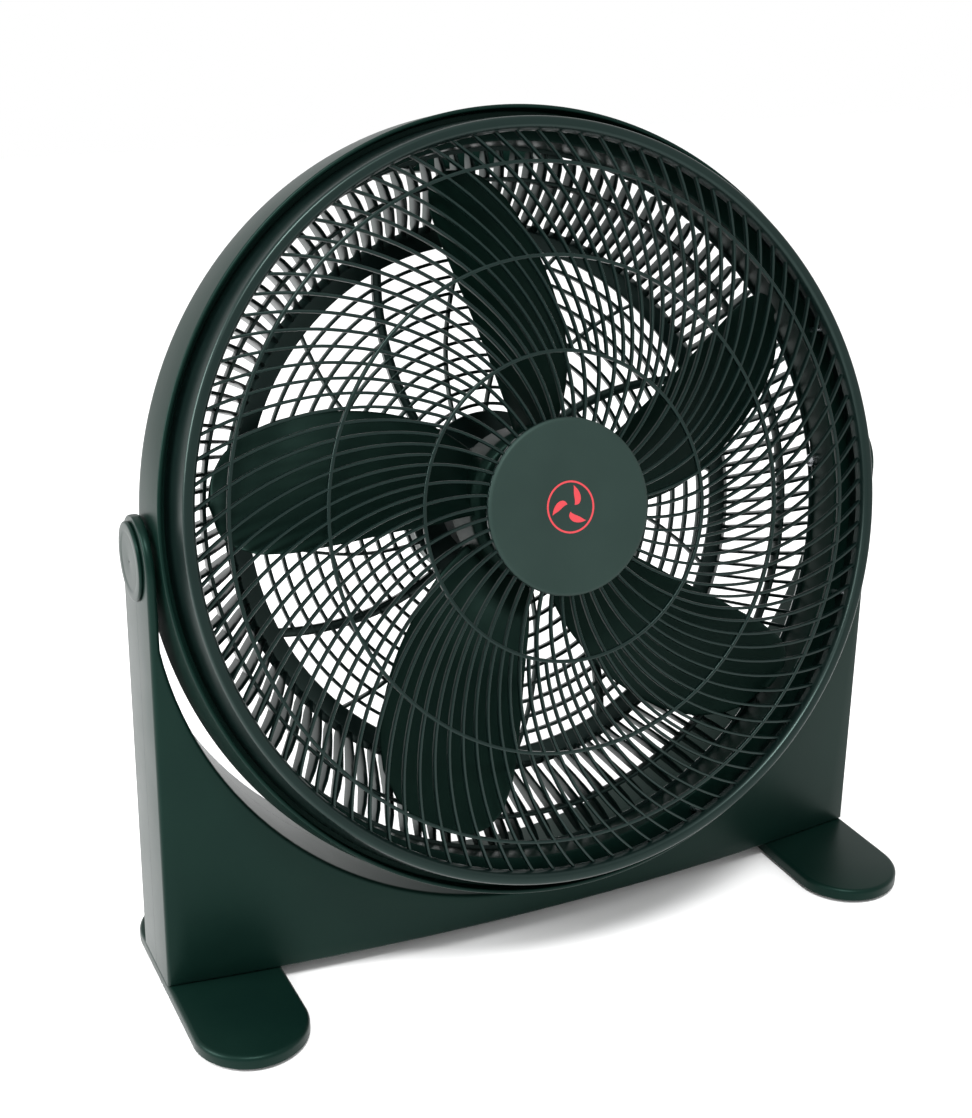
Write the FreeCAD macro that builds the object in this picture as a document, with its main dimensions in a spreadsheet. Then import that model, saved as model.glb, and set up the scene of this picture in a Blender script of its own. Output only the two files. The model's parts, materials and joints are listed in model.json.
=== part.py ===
import FreeCAD, Part
import math
import os
import re

import Sketcher
from FreeCAD import Placement, Rotation, Vector

# Tilting floor fan: a round head with a spiral guard, held by two pivots in a
# U-shaped cradle on two plate feet.  Millimetres, +Z up, the front faces -Y.
# The origin is on the floor, straight below the tilt pivots.
# Pieces of the head are drawn level, with the fan axis along Y through the
# pivot line, and are then tilted up as one.

os.makedirs("parts", exist_ok=True)
doc = FreeCAD.newDocument("axial_air_mover")
sheet = doc.addObject("Spreadsheet::Sheet", "Dimensions")

DIMENSIONS = [
    ("pivot_height", 336, "tilt pivot above the floor"),
    ("head_tilt", 16.2, "upward tilt of the head at rest, degrees"),
    ("wall", 3, "general moulded wall"),
    ("half_base", 301, "half width of the cradle at its foot"),
    ("half_top", 298, "half width of the cradle at the pivots"),
    ("arm_inside", 291.5, "half distance between the arms at the pivots"),
    ("front_middle", 58, "cradle front face ahead of the pivot, middle"),
    ("front_side", 35, "cradle front face ahead of the pivot, at the sides"),
    ("back_face", 30, "cradle back face behind the pivot"),
    ("seam", 3, "joint between the cradle halves, ahead of the pivot"),
    ("cradle_base", 12, "underside of the cradle above the floor"),
    ("cutout_radius", 295.5, "round cutout of the cradle"),
    ("cutout_height", 330, "centre of the cutout above the floor"),
    ("arm_radius", 33, "rounded top of each arm"),
    ("hollow_top", 248, "top of the hollow inside each arm"),
    ("foot_width", 85, "width of a foot plate"),
    ("foot_front", 140, "front tip of a foot ahead of the pivot"),
    ("foot_back", 84, "back tip of a foot behind the pivot"),
    ("pad_height", 2, "rubber below the foot plate"),
    ("rim_front", 61.3, "front edge of the guard rim ahead of the pivot"),
    ("rim_inside", 270, "inner radius of the guard rim at the front"),
    ("rim_face", 275, "outer radius of the guard rim front face"),
    ("skirt_radius", 281, "outer radius of the guard skirt at its back"),
    ("skirt_back", 27.2, "back edge of the guard skirt ahead of the pivot"),
    ("lip_radius", 288, "outer radius of the drum lip"),
    ("lip_inside", 285, "inner radius of the drum lip"),
    ("lip_front", 38.9, "front edge of the drum lip ahead of the pivot"),
    ("drum_radius", 290.6, "largest radius of the drum"),
    ("duct_radius", 264, "inner radius of the air duct"),
    ("web_front", 27, "front face of the drum web ahead of the pivot"),
    ("drum_back", 4, "back edge of the drum behind the pivot"),
    ("flat_half", 290, "half distance over the flats at the pivots"),
    ("boss_radius", 16, "pivot boss in the drum"),
    ("screw_circle", 274, "radius of the screws that clamp the guards to the drum"),
    ("bolt_radius", 4.95, "shank of the pivot bolt"),
    ("bolt_hole", 5, "hole for the pivot bolt"),
    ("guard_crown", 71.9, "flat middle of the front guard ahead of the pivot"),
    ("guard_depth", 3.5, "depth of a guard rib along the axis"),
    ("hub_radius", 63.8, "round middle cap of the front guard"),
    ("blade_tip", 250, "blade tip radius"),
    ("hub_outer", 58, "impeller hub radius"),
    ("hub_front", 36, "impeller hub face ahead of the pivot"),
    ("hub_back", -4, "impeller hub open end ahead of the pivot"),
    ("shaft_radius", 4, "motor shaft"),
    ("shaft_bore", 4.02, "bores that run on the motor shaft"),
    ("motor_radius", 45, "motor bracket radius"),
    ("core_radius", 42, "stator core radius"),
    ("plate_front", 54, "front of the rear guard middle plate behind the pivot"),
    ("plate_radius", 68, "rear guard middle plate radius"),
    ("cover_radius", 64, "motor back cover radius"),
    ("cover_depth", 40, "motor back cover depth"),
    ("knob_radius", 17, "speed knob radius"),
    ("handle_half", 70, "half width of the carry handle"),
    ("handle_back", 68.4, "back of the carry handle behind the pivot"),
]
for row, (alias, size, meaning) in enumerate(DIMENSIONS, start=1):
    sheet.set("A%d" % row, alias)
    sheet.set("B%d" % row, str(size))
    sheet.set("C%d" % row, meaning)
    sheet.setAlias("B%d" % row, alias)
doc.recompute()

working = doc.addObject("Spreadsheet::Sheet", "Working")
KNOWN = {}
NODES = []
PLANES = {"XY": Rotation(), "XZ": Rotation(Vector(1, 0, 0), 90), "YZ": Rotation(Vector(1, 1, 1), 120)}


def in_sheet(formula):
    """The same formula with each name pointing at the dimension sheet."""
    return re.sub(r"\b([a-z]+_[a-z_]*|wall|seam)\b", r"Dimensions.\1", str(formula))


def number(formula):
    """Value of a formula in the names of the dimension sheet."""
    if isinstance(formula, (int, float)):
        return float(formula)
    if formula not in KNOWN:
        working.set("A1", "=" + in_sheet(formula))
        working.recompute()
        KNOWN[formula] = float(working.get("A1"))
    return KNOWN[formula]


def bind(thing, prop, formula):
    """Set a property and, when the formula has names in it, drive it from the sheet."""
    formula = str(formula)
    if re.search("[a-z]", formula):
        thing.setExpression(prop, in_sheet(formula))
    else:
        setattr(thing, prop, float(formula))


def keep(thing, label, on_head=False):
    """List an object as one node of the assembly, tilted with the head if it is on it."""
    thing.Label = label
    if on_head:
        tilt = Rotation(Vector(1, 0, 0), -number("head_tilt"))
        thing.Placement = Placement(Vector(0, 0, number("pivot_height")), tilt)
    NODES.append(thing)
    return thing


# ---------------------------------------------------------------- sketches

def tie(sketch, index, position, kind, formula):
    """Tie one sketch point to the sketch origin with a driven distance along one axis."""
    size = number(formula)
    if abs(size) < 1e-9:
        axis = -2 if kind == "DistanceX" else -1
        sketch.addConstraint(Sketcher.Constraint("PointOnObject", index, position, axis))
        return
    row = sketch.addConstraint(Sketcher.Constraint(kind, -1, 1, index, position, size))
    drive(sketch, row, formula)


def drive(sketch, row, formula):
    """Bind a constraint to the dimension sheet when its formula has names in it."""
    if re.search("[a-z]{3}", str(formula)):
        sketch.setExpression("Constraints[%d]" % row, in_sheet(formula))


def constrain(sketch, index, position, corner):
    """Tie one sketch point to the sketch origin along both axes."""
    tie(sketch, index, position, "DistanceX", corner[0])
    tie(sketch, index, position, "DistanceY", corner[1])


def bend_through(start, middle, stop):
    """Counter-clockwise arc through three points, and whether it runs from start to stop."""
    bent = Part.Arc(start, middle, stop).toShape().Curve
    turn = 2 * math.pi
    angles = [math.atan2(at.y - bent.Center.y, at.x - bent.Center.x) for at in (start, middle, stop)]
    forward = (angles[1] - angles[0]) % turn < (angles[2] - angles[0]) % turn
    first, last = (angles[0], angles[2]) if forward else (angles[2], angles[0])
    ring = Part.Circle(bent.Center, Vector(0, 0, 1), bent.Radius)
    return Part.ArcOfCircle(ring, first, first + (last - first) % turn), forward


def loop(sketch, steps):
    """Closed outline.  A step is a corner (x, y), or ("arc", x, y): the way to the next
    corner bends through that point."""
    corners = [step for step in steps if step[0] != "arc"]
    first = sketch.GeometryCount
    middles = {}
    count = -1
    for step in steps:
        if step[0] == "arc":
            middles[count] = Vector(number(step[1]), number(step[2]), 0)
        else:
            count += 1
    ends = []
    for place, corner in enumerate(corners):
        start = Vector(number(corner[0]), number(corner[1]), 0)
        following = corners[(place + 1) % len(corners)]
        stop = Vector(number(following[0]), number(following[1]), 0)
        if place in middles:
            drawn, forward = bend_through(start, middles[place], stop)
            index = sketch.addGeometry(drawn, False)
            chord = stop - start
            if abs(chord.x) >= abs(chord.y):
                tie(sketch, index, 3, "DistanceY", drawn.Center.y)
            else:
                tie(sketch, index, 3, "DistanceX", drawn.Center.x)
            ends.append((1, 2) if forward else (2, 1))
        else:
            sketch.addGeometry(Part.LineSegment(start, stop), False)
            ends.append((1, 2))
    total = len(corners)
    for place in range(total):
        following = (place + 1) % total
        sketch.addConstraint(Sketcher.Constraint(
            "Coincident", first + place, ends[place][1], first + following, ends[following][0]))
    for place, corner in enumerate(corners):
        constrain(sketch, first + place, ends[place][0], corner)


def circle(sketch, x, y, radius):
    """Full circle with driven centre and radius."""
    size = number(radius)
    index = sketch.addGeometry(Part.Circle(Vector(number(x), number(y), 0), Vector(0, 0, 1), size), False)
    constrain(sketch, index, 3, (x, y))
    row = sketch.addConstraint(Sketcher.Constraint("Radius", index, size))
    drive(sketch, row, radius)


def free_sketch(name, plane, offset=0):
    """Sketch on a plane through the origin, moved along that plane's normal."""
    sketch = doc.addObject("Sketcher::SketchObject", name)
    turn = PLANES[plane]
    sketch.Placement = Placement(turn.multVec(Vector(0, 0, number(offset))), turn)
    return sketch


def extrusion(name, plane, offset, length, steps):
    """Part extrusion of one closed outline along the normal of its plane."""
    sketch = free_sketch(name + "_outline", plane, offset)
    loop(sketch, steps)
    solid = doc.addObject("Part::Extrusion", name)
    solid.Base = sketch
    solid.DirMode = "Normal"
    solid.Solid = True
    bind(solid, "LengthFwd", length)
    sketch.Visibility = False
    return solid


# ---------------------------------------------------------------- Part pieces

def cylinder(name, radius, height, centre, axis):
    """Cylinder from a centre point along a unit axis."""
    solid = doc.addObject("Part::Cylinder", name)
    bind(solid, "Radius", radius)
    bind(solid, "Height", height)
    base = Vector(*[number(part) for part in centre])
    solid.Placement = Placement(base, Rotation(Vector(0, 0, 1), Vector(*axis)))
    return solid


def prism(name, sides, radius, height, centre, axis):
    """Regular prism for nuts and hexagon heads."""
    solid = doc.addObject("Part::Prism", name)
    solid.Polygon = sides
    solid.Circumradius = radius
    solid.Height = height
    base = Vector(*[number(part) for part in centre])
    solid.Placement = Placement(base, Rotation(Vector(0, 0, 1), Vector(*axis)))
    return solid


def box(name, low, high):
    """Box between two corners."""
    solid = doc.addObject("Part::Box", name)
    corner = [number(part) for part in low]
    far = [number(part) for part in high]
    solid.Length, solid.Width, solid.Height = [b - a for a, b in zip(corner, far)]
    solid.Placement.Base = Vector(*corner)
    return solid


def fused(name, pieces):
    solid = doc.addObject("Part::MultiFuse", name)
    solid.Shapes = pieces
    return solid


def cut(name, base, tool):
    solid = doc.addObject("Part::Cut", name)
    solid.Base = base
    solid.Tool = tool
    return solid


def common(name, pieces):
    solid = doc.addObject("Part::MultiCommon", name)
    solid.Shapes = pieces
    return solid


def group(name, pieces):
    """Separate identical solids kept together as one node."""
    bundle = doc.addObject("Part::Compound", name)
    bundle.Links = pieces
    return bundle


def screw(name, tip, axis, shank, length, head, head_height):
    """Pan-head screw: tip position, direction from tip to head, and a driver recess."""
    away = Vector(*axis)
    end = Vector(*[number(part) for part in tip])
    seat = end + away * length
    recess_depth = head_height * 0.5
    recess = seat + away * (head_height - recess_depth)
    body = fused(name + "_body", [
        cylinder(name + "_shank", shank, length + 0.1, tuple(end), axis),
        cylinder(name + "_head", head, head_height, tuple(seat), axis),
    ])
    slot = prism(name + "_recess", 4, shank * 0.7, recess_depth + 0.1, tuple(recess), axis)
    return cut(name, body, slot)


# ---------------------------------------------------------------- PartDesign pieces

def new_body(name):
    return doc.addObject("PartDesign::Body", name)


def body_sketch(body, name, plane, offset=0):
    """Sketch attached to one of the body's own origin planes."""
    sketch = body.newObject("Sketcher::SketchObject", name)
    support = [item for item in body.Origin.OriginFeatures if item.Role == plane + "_Plane"][0]
    sketch.AttachmentSupport = (support, [""])
    sketch.MapMode = "FlatFace"
    if str(offset) != "0":
        sketch.AttachmentOffset.Base.z = number(offset)
        sketch.AttachmentOffset = Placement(Vector(0, 0, number(offset)), Rotation())
    return sketch


def revolve(body, name, steps, kind="PartDesign::Revolution"):
    """Turned feature about the fan axis.  Steps are (radius, distance behind the pivot)."""
    sketch = body_sketch(body, name + "_profile", "XY")
    loop(sketch, steps)
    feature = body.newObject(kind, name)
    feature.Profile = sketch
    feature.ReferenceAxis = (sketch, ["V_Axis"])
    feature.Angle = 360
    doc.recompute()
    return feature


def pad(body, name, plane, offset, length, outlines, reverse=False, kind="PartDesign::Pad"):
    """Pad or pocket of one or more outlines; an outline of three values is a circle."""
    sketch = body_sketch(body, name + "_outline", plane, offset)
    for outline in outlines:
        if len(outline) == 3 and not isinstance(outline[0], tuple):
            circle(sketch, *outline)
        else:
            loop(sketch, outline)
    feature = body.newObject(kind, name)
    feature.Profile = sketch
    feature.Reversed = reverse
    bind(feature, "Length", length)
    doc.recompute()
    return feature


def pocket(body, name, plane, offset, length, outlines, reverse=False):
    before = body.Shape.Volume
    feature = pad(body, name, plane, offset, length, outlines, reverse, "PartDesign::Pocket")
    if body.Shape.Volume > before - 0.5:
        raise ValueError(name + " removes nothing")
    return feature


def around(body, name, feature, count, plane="XZ"):
    """Repeat a feature evenly around the fan axis."""
    pattern = body.newObject("PartDesign::PolarPattern", name)
    pattern.Originals = [feature]
    line = [item for item in body.Origin.OriginFeatures if item.Role == "Y_Axis"][0]
    pattern.Axis = (line, [""])
    pattern.Angle = 360
    body.Tip = pattern
    pattern.Occurrences = count
    doc.recompute()
    return pattern


def round_edges(body, name, radius, picks):
    """Fillet the edges that a test picks out of the body's last shape."""
    base = body.Tip
    edges = ["Edge%d" % i for i, edge in enumerate(base.Shape.Edges, start=1) if picks(edge)]
    if not edges:
        raise ValueError(name + " picks no edge")
    feature = body.newObject("PartDesign::Fillet", name)
    feature.Base = (base, edges)
    feature.Radius = radius
    doc.recompute()
    return feature


# ---------------------------------------------------------------- cradle halves
# Each half is a hollow moulding: the front outline, the plan outline and the
# side outline are crossed, and the same three outlines set in by one wall are
# taken out of the middle.

def cradle_block(name, inset, top):
    """Crossing of the three outlines, all set in by one distance."""
    base = "half_base - %s" % inset
    narrow = "half_top - %s" % inset
    radius = "cutout_radius + %s" % inset
    floor = "cradle_base + %s" % inset
    reach = number(radius)
    middle = number("cutout_height")
    if inset == 0:
        side = number("arm_inside")
        level = middle - math.sqrt(reach ** 2 - side ** 2)
        front = [
            ("0 - (%s)" % base, floor), (base, floor), (narrow, top), ("arm_inside", top),
            ("arm_inside", level), ("arc", 0, middle - reach), ("0 - arm_inside", level),
            ("0 - arm_inside", top), ("0 - (%s)" % narrow, top),
        ]
    else:
        side = math.sqrt(reach ** 2 - (middle - number(top)) ** 2)
        lean = (number("half_base") - number("half_top")) / (number("pivot_height") - 12)
        shoulder = number(base) - lean * (number(top) - 12)
        front = [
            ("0 - (%s)" % base, floor), (base, floor), (shoulder, top), (side, top),
            ("arc", 0, middle - reach), (-side, top), (-shoulder, top),
        ]
    face = extrusion(name + "_front", "XZ", -60, 140, front)
    plan = extrusion(name + "_plan", "XY", 0, 380, [
        ("0 - half_base - 5", "back_face - %s" % inset),
        ("0 - half_base - 5", "0 - front_side + %s" % inset),
        ("arc", 0, "0 - front_middle + %s" % inset),
        ("half_base + 5", "0 - front_side + %s" % inset),
        ("half_base + 5", "back_face - %s" % inset),
    ])
    lean_back = 0.7071 * number("arm_radius")
    axis = -number("seam")
    side_view = extrusion(name + "_side", "YZ", -320, 640, [
        (-80, 0), ("back_face", 0), ("back_face", "pivot_height"),
        ("arc", axis + lean_back, number("pivot_height") + lean_back),
        (axis, "pivot_height + arm_radius"),
        ("arc", axis - lean_back, number("pivot_height") + lean_back),
        ("0 - arm_radius - seam", "pivot_height"), (-80, "pivot_height"),
    ])
    return common(name, [face, plan, side_view])


outer = cradle_block("cradle_outer", 0, "pivot_height + arm_radius + 2")
hollow = cradle_block("cradle_hollow", 3, "hollow_top")
cradle = cut("cradle_walls", outer, hollow)
front_room = box("front_half_room", (-320, -80, 0), (320, "0 - seam - 0.1", 400))
back_room = box("back_half_room", (-320, "0 - seam + 0.1", 0), (320, 80, 400))

SHELL_SCREWS = [(-287, 40), (-284, 190), (-150, 42), (150, 42), (284, 190), (287, 40)]
FOOT_SCREWS = [(-272, -22), (-238, -28), (-255, 16), (272, -22), (238, -28), (255, 16)]


def bosses(name, places, radius, depth_from, depth_to):
    """Round posts along Y between two depths."""
    return [
        cylinder("%s_%d" % (name, i), radius, depth_to - depth_from, (x, depth_from, z), (0, 1, 0))
        for i, (x, z) in enumerate(places)
    ]


def foot_posts(name, behind):
    """Upright posts over the foot screws of one half."""
    chosen = [(x, y) for x, y in FOOT_SCREWS if (y > 0) == behind]
    posts = [
        cylinder("%s_%d" % (name, i), 6, 22, (x, y, "cradle_base"), (0, 0, 1))
        for i, (x, y) in enumerate(chosen)
    ]
    holes = [
        cylinder("%s_hole_%d" % (name, i), 2.05, 19, (x, y, "cradle_base - 1"), (0, 0, 1))
        for i, (x, y) in enumerate(chosen)
    ]
    return posts, holes


posts, holes = foot_posts("front_post", False)
front_body = fused("front_half_solid", [
    common("front_half_walls", [cradle, front_room]),
    common("front_half_bosses", [outer, fused("front_boss_set", bosses("front_boss", SHELL_SCREWS, 5.5, -62, -3.1) + posts)]),
])
pilot = bosses("front_pilot", SHELL_SCREWS, 2.05, -24, 0)
pivot_way = cylinder("pivot_way", "bolt_hole", 640, (-320, 0, "pivot_height"), (1, 0, 0))
head_seats = [
    cylinder("bolt_head_seat_left", 12.2, 30, ("4.5 - half_top", 0, "pivot_height"), (-1, 0, 0)),
    cylinder("bolt_head_seat_right", 12.2, 30, ("half_top - 4.5", 0, "pivot_height"), (1, 0, 0)),
]
cap_seats = [
    cylinder("cap_seat_left", 28.2, 30, ("0 - half_top", 0, "pivot_height"), (-1, 0, 0)),
    cylinder("cap_seat_right", 28.2, 30, ("half_top", 0, "pivot_height"), (1, 0, 0)),
]
openings = [pivot_way] + head_seats + cap_seats
keep(cut("front_half_cut", front_body, fused("front_half_tools", pilot + holes + openings)), "stand_front_shell")

posts, holes = foot_posts("back_post", True)
back_body = fused("back_half_solid", [
    common("back_half_walls", [cradle, back_room]),
    common("back_half_bosses", [outer, fused("back_boss_set", bosses("back_boss", SHELL_SCREWS, 7, -2.9, 29) + posts)]),
])
ways = bosses("back_way", SHELL_SCREWS, 2.3, -10, 31)
seats = bosses("back_seat", SHELL_SCREWS, 4.6, 6, 31)
keep(cut("back_half_cut", back_body, fused("back_half_tools", ways + seats + holes + openings)), "stand_rear_shell")

keep(group("shell_screw_group", [
    screw("shell_screw_%d" % i, (x, -18, z), (0, 1, 0), 2, 24, 4.2, 3)
    for i, (x, z) in enumerate(SHELL_SCREWS)
]), "stand_shell_screws")


# ---------------------------------------------------------------- feet

def stadium(centre, half_width, front, back):
    """Plate outline with two half-round ends."""
    radius = half_width
    return [
        (centre + radius, -front + radius), (centre + radius, back - radius),
        ("arc", centre, back), (centre - radius, back - radius),
        (centre - radius, -front + radius), ("arc", centre, -front),
    ]


def foot(label, side):
    """Moulded foot plate, hollow below, with wells for three screws."""
    centre = side * (number("half_base") - number("foot_width") / 2)
    half = number("foot_width") / 2
    front = number("foot_front")
    back = number("foot_back")
    body = new_body(label + "_body")
    pad(body, label + "_plate", "XY", "pad_height", "cradle_base - pad_height", [stadium(centre, half, front, back)])
    round_edges(body, label + "_top_round", 3, lambda edge: edge.BoundBox.ZMin > number("cradle_base") - 0.01)
    pocket(body, label + "_underside", "XY", "pad_height", 5,
           [stadium(centre, half - 9, 78, 22)], reverse=True)
    wells = [(x, y, 2.3) for x, y in FOOT_SCREWS if x * side > 0]
    pocket(body, label + "_screw_ways", "XY", "pad_height", 12, wells, reverse=True)
    return keep(body, label)


foot("foot_left", -1)
foot("foot_right", 1)

keep(group("foot_screw_group", [
    screw("foot_screw_%d" % i, (x, y, 26), (0, 0, -1), 2, 19, 4.2, 3)
    for i, (x, y) in enumerate(FOOT_SCREWS)
]), "foot_screws")

pads = []
for side in (-1, 1):
    centre = side * (number("half_base") - number("foot_width") / 2)
    for place, at in (("front", "0 - foot_front + 32"), ("back", "foot_back - 32")):
        pads.append(cylinder("pad_%s_%d" % (place, side), 20, "pad_height", (centre, at, 0), (0, 0, 1)))
keep(group("foot_pad_group", pads), "foot_pads")


# ---------------------------------------------------------------- pivots

for side, name in ((-1, "left"), (1, "right")):
    outward = (side, 0, 0)
    cap = new_body("pivot_cap_%s_body" % name)
    plane = "half_top" if side > 0 else "0 - half_top"
    pad(cap, "pivot_cap_%s_disc" % name, "YZ", plane, 3, [(0, "pivot_height", 28)], reverse=side < 0)
    round_edges(cap, "pivot_cap_%s_round" % name, 2,
                lambda edge: abs(edge.CenterOfMass.x) > number("half_top") + 2.5)
    pad(cap, "pivot_cap_%s_spigot" % name, "YZ", plane, 1.3, [(0, "pivot_height", 12)], reverse=side > 0)
    keep(cap, "pivot_cap_" + name)
    start = side * (number("flat_half") - 30)
    shank = cylinder("pivot_shank_" + name, "bolt_radius", "half_top - 1.5 - flat_half + 30",
                     (start, 0, "pivot_height"), outward)
    bolt_head = cylinder("pivot_head_" + name, 12, 3, (side * (number("half_top") - 4.5), 0, "pivot_height"), outward)
    socket = prism("pivot_socket_" + name, 6, 4.5, 5, (side * (number("half_top") - 3.2), 0, "pivot_height"), outward)
    keep(cut("pivot_bolt_%s_cut" % name, fused("pivot_bolt_%s_body" % name, [shank, bolt_head]), socket),
         "pivot_bolt_" + name)
    ring = cylinder("washer_disc_" + name, 15, 1.46, (side * (number("flat_half") + 0.02), 0, "pivot_height"), outward)
    hole = cylinder("washer_hole_" + name, 5.05, 5, (side * (number("flat_half") - 1), 0, "pivot_height"), outward)
    keep(cut("friction_washer_%s_cut" % name, ring, hole), "friction_washer_" + name)


# ---------------------------------------------------------------- drum and guards

drum = new_body("drum_body")
revolve(drum, "drum_section", [
    ("lip_radius", "0 - lip_front"), ("drum_radius", "0"), ("drum_radius", "drum_back"),
    ("drum_radius - wall", "drum_back"), ("drum_radius - wall", "0"),
    ("lip_inside + 0.2", "0 - web_front + wall"), ("duct_radius + wall", "0 - web_front + wall"),
    ("duct_radius + wall", "drum_back"), ("duct_radius", "drum_back"),
    ("duct_radius", "0 - web_front"), ("lip_inside", "0 - web_front"), ("lip_inside", "0 - lip_front"),
])
for side, name in ((-1, "left"), (1, "right")):
    sign = "" if side > 0 else "0 - "
    pad(drum, "pivot_boss_" + name, "YZ", "%s(duct_radius + 1)" % sign, "flat_half - duct_radius - 1",
        [(0, 0, "boss_radius")], reverse=side < 0)
    pocket(drum, "pivot_flat_" + name, "YZ", "%sflat_half" % sign, 20,
           [[(-60, -60), (60, -60), (60, 60), (-60, 60)]], reverse=side > 0)
    pocket(drum, "pivot_hole_" + name, "YZ", "%s(duct_radius - 2)" % sign, 40,
           [(0, 0, "bolt_hole")], reverse=side > 0)
    corners = [(9.2 * math.cos(math.radians(60 * i + 30)), 9.2 * math.sin(math.radians(60 * i + 30))) for i in range(6)]
    pocket(drum, "pivot_nut_room_" + name, "YZ", "%s(duct_radius - 2)" % sign, 10,
           [corners], reverse=side > 0)
across = "0 - screw_circle * %.6f" % math.sin(math.radians(22.5))
upward = "screw_circle * %.6f" % math.cos(math.radians(22.5))
screw_post = pad(drum, "guard_screw_post", "XZ", -2, 28, [(across, upward, 5)])
around(drum, "guard_screw_posts", screw_post, 8)
post_hole = pocket(drum, "guard_screw_hole", "XZ", -5, 40, [(across, upward, 2.05)], reverse=True)
around(drum, "guard_screw_holes", post_hole, 8)
keep(drum, "drum_housing", on_head=True)

keep(group("pivot_nut_group", [
    cut("pivot_nut_%s" % name,
        prism("pivot_nut_hex_%s" % name, 6, 9, 6, (side * (number("duct_radius") + 1.5), 0, 0), (side, 0, 0)),
        cylinder("pivot_nut_bore_%s" % name, "bolt_hole", 20, (side * (number("duct_radius") - 5), 0, 0), (side, 0, 0)))
    for side, name in ((-1, "left"), (1, "right"))
]), "pivot_nuts", on_head=True)

# The two guards are turned blanks with the gaps between their ribs cut through.
# The ribs are spirals: the angle of a rib grows with its radius.

def spiral_gap(count, index, inner, outer, width, twist, reach):
    """Prism of the gap between two neighbouring ribs, between two radii."""
    step = 2 * math.pi / count

    def side(radius, rib, sign):
        """Point on the edge of one rib."""
        slope = (twist(radius + 0.5) - twist(radius - 0.5)) * radius
        offset = width(rib % count) / 2 * math.sqrt(1 + slope ** 2) / radius
        angle = rib * step + twist(radius) + sign * offset
        return Vector(radius * math.cos(angle), -reach, radius * math.sin(angle))

    middle = (inner + outer) / 2
    near = [side(radius, index, 1) for radius in (inner, middle, outer)]
    far = [side(radius, index + 1, -1) for radius in (outer, middle, inner)]
    edges = [
        Part.Arc(*near).toShape(),
        Part.LineSegment(near[2], far[0]).toShape(),
        Part.Arc(*far).toShape(),
        Part.LineSegment(far[2], near[0]).toShape(),
    ]
    return Part.Face(Part.Wire(edges)).extrude(Vector(0, 2 * reach, 0))


def turned(points):
    """Solid of revolution about the fan axis from (radius, distance behind the pivot)."""
    corners = [Vector(number(radius), number(depth), 0) for radius, depth in points]
    outline = Part.makePolygon(corners + corners[:1])
    return Part.Face(outline).revolve(Vector(0, 0, 0), Vector(0, 1, 0), 360)


def post(radius, circle_radius, angle, start, stop):
    """Cylinder parallel to the fan axis at a place on a circle."""
    turn = math.radians(angle)
    base = Vector(circle_radius * math.cos(turn), start, circle_radius * math.sin(turn))
    return Part.makeCylinder(radius, stop - start, base, Vector(0, 1, 0))


def front_twist(radius):
    """Angle that a front rib has turned by a radius, nearly radial at the middle."""
    run = radius - 66
    return math.radians(0.174 * run - 2.4 * (1 - math.exp(-run / 30)))


def rear_twist(radius):
    """Angle of a rear spoke at a radius: it leans the other way round from a front rib."""
    return math.radians(112 - 0.16 * (radius - 200))


def wall_twist(radius):
    """Angle of a rib in the wall of the rear bowl, which leans a little."""
    return math.radians(0.046 * (radius - 212))


def front_width(rib):
    """Front ribs are all alike."""
    return 2.2


def spoke_width(rib):
    """Every fourth spoke of the rear guard carries the motor and is wide."""
    return 7 if rib % 4 == 0 else 2.6


def wall_width(rib):
    """Ribs in the wall of the rear bowl."""
    return 2.8


def guard(label, blank, zones, posts, holes):
    """Guard from its blank, rib zones (count, inner, outer, twist, width), posts and holes."""
    shape = blank.multiFuse(posts)
    gaps = []
    for count, inner, outer, twist, width in zones:
        for index in range(count):
            gaps.append(spiral_gap(count, index, inner, outer, width, twist, 120))
    shape = shape.cut(Part.makeCompound(gaps))
    shape = shape.cut(Part.makeCompound(holes)).removeSplitter()
    solid = doc.addObject("Part::Feature", label + "_moulding")
    solid.Shape = shape
    return keep(solid, label, on_head=True)


crown = "0 - guard_crown - guard_depth"
front_blank = turned([
    (0, crown), (111, crown), (178.5, "0 - 69.5"), (245, "0 - 60.5"), (267, "0 - 56"),
    ("rim_inside - 2", "0 - rim_front + 2"), ("rim_inside", "0 - rim_front"), ("rim_face", "0 - rim_front"),
    ("rim_face + 1.5", "0 - rim_front + 1.5"), ("skirt_radius", "0 - skirt_back"),
    ("skirt_radius - 2.6", "0 - skirt_back"), ("rim_face - 1", "0 - rim_front + 4"),
    ("rim_inside", "0 - rim_front + 5"), ("rim_inside", -50), (267, -50), (267, "0 - 52.5"),
    (245, "0 - 57"), (178.5, "0 - 66"), (111, "0 - guard_crown"), (0, "0 - guard_crown"),
])
SCREW_ANGLES = [22.5 + 45 * i for i in range(8)]
clamp = number("screw_circle")
front_posts = [post(4.5, clamp, angle, -54, -27.2) for angle in SCREW_ANGLES]
front_holes = [post(2.05, clamp, angle, -48, -20) for angle in SCREW_ANGLES]
hub_holes = [post(3.1, 40, angle, -90, -60) for angle in (30, 150, 270)]
front_zones = [(50, 62, 109.8), (100, 112.2, 177.3), (100, 179.7, 243.8), (100, 246.2, 266)]
guard("front_grille", front_blank, [zone + (front_twist, front_width) for zone in front_zones],
      front_posts, front_holes + hub_holes)

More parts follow.
